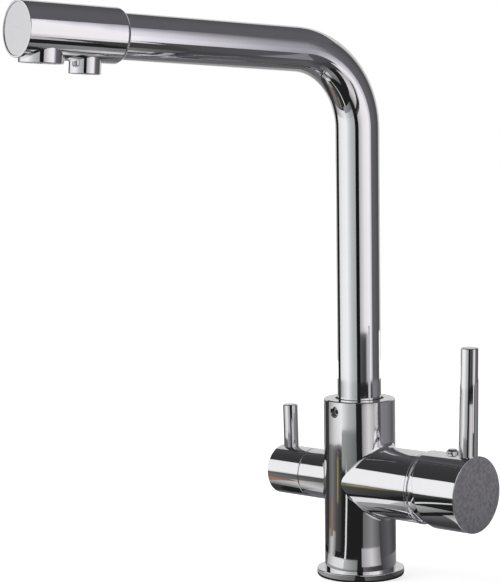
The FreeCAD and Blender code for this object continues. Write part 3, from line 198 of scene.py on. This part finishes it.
def glowing_sheet(name, bm, tone_at, tint):
    """A stage piece that only reflections show, its glow a painted reflection. Its face to the tap
    glows, its back is black.
    """
    for face in bm.faces:
        face.normal_update()
        if face.normal.dot(TAP_MIDDLE - face.calc_center_median()) < 0:
            face.normal_flip()
    layer = bm.verts.layers.float_color.new("tone")
    for point in bm.verts:
        grey = tone_at(point.co)
        point[layer] = (*(grey * part for part in tint), 1)
    piece = in_scene(name, bm)
    material, tree, shader = new_material(name)
    shader.inputs["Base Color"].default_value = (0, 0, 0, 1)
    shader.inputs["Specular IOR Level"].default_value = 0
    carried = tree.nodes.new("ShaderNodeVertexColor")
    carried.layer_name = "tone"
    tree.links.new(carried.outputs["Color"], shader.inputs["Emission Color"])
    side = tree.nodes.new("ShaderNodeNewGeometry")
    glow = between(tree, side.outputs["Backfacing"], 1, 0)
    tree.links.new(glow, shader.inputs["Emission Strength"])
    piece.data.materials.append(material)
    piece.visible_camera = piece.visible_diffuse = piece.visible_shadow = False


def at_angle(degrees):
    """The direction that lies this many degrees round from the camera's side."""
    return Matrix.Rotation(radians(TOWARDS_CAMERA + degrees), 3, "Z") @ Vector((1, 0, 0))


def round_the_tap(name, first, last, edges, tones, tint):
    """A sheet bent round the tap. Each of its two edges is a radius and a height."""
    bm = bmesh.new()
    start = at_angle(first)
    width = radians(last - first)
    ends = [bm.verts.new(start * radius + Vector((0, 0, height))) for radius, height in edges]
    strip = [*ends, bm.edges.new(ends)]
    steps = round((last - first) * STEPS_PER_DEGREE)
    bmesh.ops.spin(bm, geom=strip, cent=(0, 0, 0), axis=(0, 0, 1), angle=width, steps=steps)
    first_tone, middle_tone, last_tone = tones

    def tone_at(place):
        turned = ANGLE_SLACK - start.to_2d().angle_signed(place.to_2d())
        share = turned % (2 * pi) / width
        end_tone = first_tone if share < 0.5 else last_tone
        return middle_tone + (end_tone - middle_tone) * min(1, abs(2 * share - 1))

    glowing_sheet(name, bm, tone_at, tint)


for name, (first, last, low, high, tones, tint) in HUNG_GLOWING_SHEETS.items():
    round_the_tap(name, first, last, ((RING, low), (RING, high)), tones, tint)
for table, height in ((LAID_GLOWING_SHEETS, LAID_HEIGHT), (GLOWING_STRIPS, GLOWING_STRIP_HEIGHT)):
    for name, (first, last, near, far, tones, tint) in table.items():
        round_the_tap(name, first, last, ((near, height), (far, height)), tones, tint)


def ceiling_tone(place):
    """Painted reflection glow: dark over the camera's left, and lighter over its right."""
    brightest = at_angle(CEILING_BRIGHT_ANGLE).to_2d()
    share = (1 + place.to_2d().normalized().dot(brightest)) / 2
    dark, light = CEILING_TONES
    return dark + (light - dark) * share


# Ceiling. A glowing dome that only reflections show: a painted reflection over the tap.
bm = bmesh.new()
bmesh.ops.create_uvsphere(
    bm, u_segments=CEILING_ROUND, v_segments=CEILING_RISE, radius=CEILING_RADIUS
)
below = [point for point in bm.verts if point.co.z < CEILING_RIM]
bmesh.ops.delete(bm, geom=below, context="VERTS")
glowing_sheet("ceiling", bm, ceiling_tone, HAZE)

# Dark mat. A near-black glowing sheet on the floor round the tap's foot, under the other floor
# sheets, that only reflections show: a painted dark reflection.
bm = bmesh.new()
bmesh.ops.create_circle(bm, segments=MAT_SEGMENTS, radius=MAT_EDGE)
outer = bmesh.ops.extrude_edge_only(bm, edges=bm.edges[:])["geom"]
outer = [item for item in outer if isinstance(item, bmesh.types.BMVert)]
bmesh.ops.scale(bm, vec=(RING / MAT_EDGE, RING / MAT_EDGE, 1), verts=outer)
bmesh.ops.translate(bm, vec=(0, 0, MAT_HEIGHT), verts=bm.verts)
glowing_sheet("dark_mat", bm, lambda place: MAT_GREY, PLAIN)

# Lamp. One broad soft box, high on the camera's left, for the pieces that aren't polished. It
# isn't itself reflected.
LAMP_PLACE = Vector((-0.5, -1.1, 1.6))
LAMP_POWER = 12
LAMP_SIDE = 1.2
lamp = bpy.data.objects.new("soft_box", bpy.data.lights.new("soft_box", "AREA"))
lamp.data.size = LAMP_SIDE
lamp.data.energy = LAMP_POWER
lamp.location = LAMP_PLACE
lamp.rotation_euler = LAMP_PLACE.to_track_quat("Z", "Y").to_euler()
lamp.visible_glossy = False
bpy.context.scene.collection.objects.link(lamp)

# Tap body and base ring. One brass casting, ground, polished by hand and plated with chromium. The
# hand polish leaves its surface faintly wavy. The ring is turned from brass and plated alike.
CHROME = (0.88, 0.88, 0.89)
CHROME_CLOUDED = (0.84, 0.84, 0.86)
CLOUD_PATCH = 0.012
POLISHING_MARK = 0.0015
BROAD, SOFT, EVEN, FINE = 1.0, 2.0, 3.0, 4.0


def speckle(tree, patch, detail):
    """A noise fixed to the piece. Its patches are about this many metres across."""
    spots = tree.nodes.new("ShaderNodeTexNoise")
    spots.inputs["Scale"].default_value = 1 / patch
    spots.inputs["Detail"].default_value = detail
    place = tree.nodes.new("ShaderNodeTexCoord")
    tree.links.new(place.outputs["Object"], spots.inputs["Vector"])
    return spots.outputs["Fac"]


def two_tones(tree, shader, share, first, second):
    """Colour that wanders between two tones. It gives back the socket of the first."""
    blend = tree.nodes.new("ShaderNodeMix")
    blend.data_type = "RGBA"
    colours = [socket for socket in blend.inputs if socket.type == "RGBA"]
    colours[0].default_value, colours[1].default_value = (*first, 1), (*second, 1)
    tree.links.new(share, blend.inputs["Factor"])
    mixed = next(socket for socket in blend.outputs if socket.type == "RGBA")
    tree.links.new(mixed, shader.inputs["Base Color"])
    return colours[0]


def relief(tree, shader, share, depth):
    """A bump of this depth in metres, laid over any bump that is there already."""
    bump = tree.nodes.new("ShaderNodeBump")
    bump.inputs["Distance"].default_value = depth
    tree.links.new(share, bump.inputs["Height"])
    if shader.inputs["Normal"].is_linked:
        tree.links.new(shader.inputs["Normal"].links[0].from_socket, bump.inputs["Normal"])
    tree.links.new(bump.outputs["Normal"], shader.inputs["Normal"])


def polished(name, wave, wave_depth, smooth, dull):
    """Polished chromium plate with a faint wave and fine polishing marks."""
    material, tree, shader = new_material(name)
    shader.inputs["Metallic"].default_value = 1
    two_tones(tree, shader, speckle(tree, CLOUD_PATCH, SOFT), CHROME, CHROME_CLOUDED)
    roughness = between(tree, speckle(tree, POLISHING_MARK, FINE), smooth, dull)
    tree.links.new(roughness, shader.inputs["Roughness"])
    relief(tree, shader, speckle(tree, wave, BROAD), wave_depth)
    return material


def finish(material, *names):
    """Give CAD pieces this material in all their slots."""
    for name in names:
        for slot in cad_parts[name].material_slots:
            slot.material = material


cast_chrome = polished("cast_chrome", wave=0.02, wave_depth=0.00012, smooth=0.03, dull=0.07)
finish(cast_chrome, "tap_body", "base_ring")

# Base seal. A moulded rubber ring, set into the underside of the base ring. It keeps water from
# creeping under the tap.
RUBBER = (0.022, 0.022, 0.024)
RUBBER_WORN = (0.04, 0.04, 0.042)
GRAINS_PER_PATCH = 6


def moulded(name, tone, other_tone, roughness, grain, depth):
    """A moulded or ground material with a fine even grain."""
    material, tree, shader = new_material(name)
    two_tones(tree, shader, speckle(tree, grain * GRAINS_PER_PATCH, EVEN), tone, other_tone)
    shader.inputs["Roughness"].default_value = roughness
    relief(tree, shader, speckle(tree, grain, EVEN), depth)
    return material


rubber = moulded(
    "black_rubber", RUBBER, RUBBER_WORN, roughness=0.62, grain=0.0006, depth=0.00002
)
finish(rubber, "base_seal_ring")

# Inlet block. Turned from brass bar and pressed into the column's foot. It has the threads for the
# hoses and the holes for the studs.
BRASS = (0.72, 0.50, 0.22)
BRASS_DULL = (0.58, 0.40, 0.19)
TARNISH_PATCH = 0.004
CUTTER_STREAK = 0.0008
CUTTER_MARK, CUTTER_MARK_DEPTH = 0.0005, 0.000012


def machined(name, tone, other_tone, smooth, dull):
    """Bare metal with cutter marks."""
    material, tree, shader = new_material(name)
    shader.inputs["Metallic"].default_value = 1
    two_tones(tree, shader, speckle(tree, TARNISH_PATCH, EVEN), tone, other_tone)
    roughness = between(tree, speckle(tree, CUTTER_STREAK, FINE), smooth, dull)
    tree.links.new(roughness, shader.inputs["Roughness"])
    relief(tree, shader, speckle(tree, CUTTER_MARK, SOFT), CUTTER_MARK_DEPTH)
    return material


brass = machined("turned_brass", BRASS, BRASS_DULL, smooth=0.22, dull=0.42)
finish(brass, "inlet_block")

# Swivel of the spout. A brass bush with two O-rings turns on a plastic thrust washer in the
# column's socket, under a black glide ring. The point of a steel lock screw runs in a groove round
# the bush and keeps the spout from lifting out.
WHITE_PLASTIC = (0.80, 0.80, 0.78)
WHITE_PLASTIC_SHADE = (0.74, 0.74, 0.72)
STEEL = (0.56, 0.56, 0.57)
STEEL_DULL = (0.44, 0.44, 0.46)
white_plastic = moulded(
    "white_plastic", WHITE_PLASTIC, WHITE_PLASTIC_SHADE, roughness=0.42, grain=0.0009, depth=0.00001
)
steel = machined("ground_steel", STEEL, STEEL_DULL, smooth=0.18, dull=0.36)
finish(brass, "spout_swivel_bush")
finish(rubber, "spout_o_rings", "spout_glide_ring")
finish(white_plastic, "spout_thrust_washer")
finish(steel, "spout_lock_screw")

# Spout tube. Drawn brass tube, bent once over a mandrel and chromed. Drawing leaves it smoother
# than a casting.
drawn_chrome = polished("drawn_chrome", wave=0.05, wave_depth=0.00006, smooth=0.025, dull=0.05)
finish(drawn_chrome, "spout_tube")

# Inner tube. Clear plastic, which keeps the filtered water apart all the way through the spout. It
# has a brass plug with an O-ring at its foot.
CLEAR_TUBE = (0.86, 0.9, 0.9)
CLEAR_TUBE_SHADE = (0.8, 0.86, 0.87)
CLEARNESS = 0.7
clear_tube = moulded(
    "clear_tube", CLEAR_TUBE, CLEAR_TUBE_SHADE, roughness=0.2, grain=0.003, depth=0.00001
)
shader_of(clear_tube).inputs["Transmission Weight"].default_value = CLEARNESS
finish(clear_tube, "filter_water_tube")
finish(brass, "filter_tube_plug")
finish(rubber, "filter_tube_o_ring")

# Spout head. A thicker chromed sleeve over the arm's end. It is closed by a disc that is blasted
# with fine beads to a satin finish and sits in a polished rim.
SATIN = (0.83, 0.82, 0.84)
SATIN_SHADE = (0.76, 0.75, 0.77)
SATIN_PATCH = 0.002
SATIN_SPOT = 0.0007
SATIN_ROUGHNESS = (0.24, 0.36)
SATIN_GRAIN, SATIN_GRAIN_DEPTH = 0.0004, 0.00001
satin, tree, shader = new_material("satin_disc")
shader.inputs["Metallic"].default_value = 1
two_tones(tree, shader, speckle(tree, SATIN_PATCH, FINE), SATIN, SATIN_SHADE)
roughness = between(tree, speckle(tree, SATIN_SPOT, FINE), *SATIN_ROUGHNESS)
tree.links.new(roughness, shader.inputs["Roughness"])
relief(tree, shader, speckle(tree, SATIN_GRAIN, SOFT), SATIN_GRAIN_DEPTH)
finish(cast_chrome, "spout_head")
finish(satin, "head_end_cap")

# Outlets. Chromed housings screwed into the head's underside hold moulded flow straighteners, the
# mixed water's with a woven steel screen behind it, on rubber washers.
finish(cast_chrome, "main_aerator_housing", "filter_outlet_nozzle")
finish(white_plastic, "main_aerator_insert", "filter_outlet_insert")
finish(steel, "main_aerator_screen")
finish(rubber, "main_aerator_washer", "filter_outlet_washer")

# Mixer cartridge. Moulded base and housing, ground ceramic discs, a moulded rotor and carrier, and
# a steel spindle on its pin. The brass nut clamps all of it in the branch, under a chromed shroud.
GREY_PLASTIC = (0.36, 0.37, 0.39)
GREY_PLASTIC_SHADE = (0.31, 0.32, 0.34)
CERAMIC = (0.9, 0.89, 0.86)
CERAMIC_SHADE = (0.86, 0.85, 0.82)
CERAMIC_GLOSS = 0.4
grey_plastic = moulded(
    "grey_plastic", GREY_PLASTIC, GREY_PLASTIC_SHADE, roughness=0.45, grain=0.0009, depth=0.00001
)
ceramic = moulded(
    "ground_ceramic", CERAMIC, CERAMIC_SHADE, roughness=0.16, grain=0.002, depth=0.000002
)
shader_of(ceramic).inputs["Coat Weight"].default_value = CERAMIC_GLOSS
finish(grey_plastic, "cartridge_base", "cartridge_housing")
finish(ceramic, "cartridge_fixed_disc", "cartridge_moving_disc")
finish(rubber, "cartridge_port_seals")
finish(white_plastic, "cartridge_rotor", "cartridge_disc_carrier")
finish(steel, "cartridge_spindle", "cartridge_pivot_pin")
finish(brass, "cartridge_nut")
finish(cast_chrome, "cartridge_shroud")

# Handle caps. Chromed cups whose end faces are blasted to a satin finish inside a polished edge. A
# steel grub screw clamps each cap to its spindle.
MIXER_FACE = 0.0917
FILTER_FACE = -0.0646
BLASTED_TONE = (0.6, 0.6, 0.63)
BLASTED_PATCH = 0.0022
BLASTED_SPREAD = (-1.4, 2.2)
BLASTED_ROUGHNESS = (0.28, 0.42)
BLASTED_GRAIN, BLASTED_GRAIN_DEPTH = 0.0006, 0.00003


def cap_chrome(name, face):
    """Polished plate that turns satin on the flat end, beyond this place along X."""
    material = polished(name, wave=0.02, wave_depth=0.0001, smooth=0.03, dull=0.07)
    tree, shader = material.node_tree, shader_of(material)
    place = tree.nodes.new("ShaderNodeTexCoord")
    apart = tree.nodes.new("ShaderNodeSeparateXYZ")
    tree.links.new(place.outputs["Object"], apart.inputs["Vector"])
    beyond = tree.nodes.new("ShaderNodeMath")
    beyond.operation = "GREATER_THAN" if face > 0 else "LESS_THAN"
    beyond.inputs[1].default_value = face
    tree.links.new(apart.outputs["X"], beyond.inputs[0])

    def on_the_end(share):
        """The share as it is on the satin end, and nothing on the polished rest."""
        both = tree.nodes.new("ShaderNodeMath")
        both.operation = "MULTIPLY"
        tree.links.new(beyond.outputs[0], both.inputs[0])
        tree.links.new(share, both.inputs[1])
        return both.outputs[0]

    dull = between(tree, speckle(tree, SATIN_SPOT, FINE), *BLASTED_ROUGHNESS)
    roughness = tree.nodes.new("ShaderNodeMix")
    tree.links.new(beyond.outputs[0], roughness.inputs["Factor"])
    tree.links.new(shader.inputs["Roughness"].links[0].from_socket, roughness.inputs["A"])
    tree.links.new(dull, roughness.inputs["B"])
    tree.links.new(roughness.outputs["Result"], shader.inputs["Roughness"])

    patches = between(tree, speckle(tree, BLASTED_PATCH, FINE), *BLASTED_SPREAD)
    plated = shader.inputs["Base Color"].links[0].from_socket
    blend = two_tones(tree, shader, on_the_end(patches), CHROME, BLASTED_TONE)
    tree.links.new(plated, blend)
    grain = on_the_end(speckle(tree, BLASTED_GRAIN, EVEN))
    relief(tree, shader, grain, BLASTED_GRAIN_DEPTH)
    return material


finish(cap_chrome("mixer_cap_chrome", MIXER_FACE), "mixer_handle_cap")
finish(cap_chrome("filter_cap_chrome", FILTER_FACE), "filter_handle_cap")
finish(steel, "mixer_grub_screw", "filter_grub_screw")

# Levers and button. Turned brass rods, chromed and screwed into the caps. The button plugs the
# hole over the mixer's grub screw.
turned_chrome = polished("turned_chrome", wave=0.015, wave_depth=0.00008, smooth=0.025, dull=0.05)
finish(turned_chrome, "mixer_lever", "filter_lever", "mixer_index_button")

# Filter valve. A brass spindle in a brass body turns one ceramic disc on another. A rubber seal
# and an O-ring keep the water in.
finish(brass, "filter_valve_body", "filter_valve_spindle")
finish(ceramic, "filter_fixed_disc", "filter_moving_disc")
finish(rubber, "filter_valve_seal", "filter_spindle_o_ring")
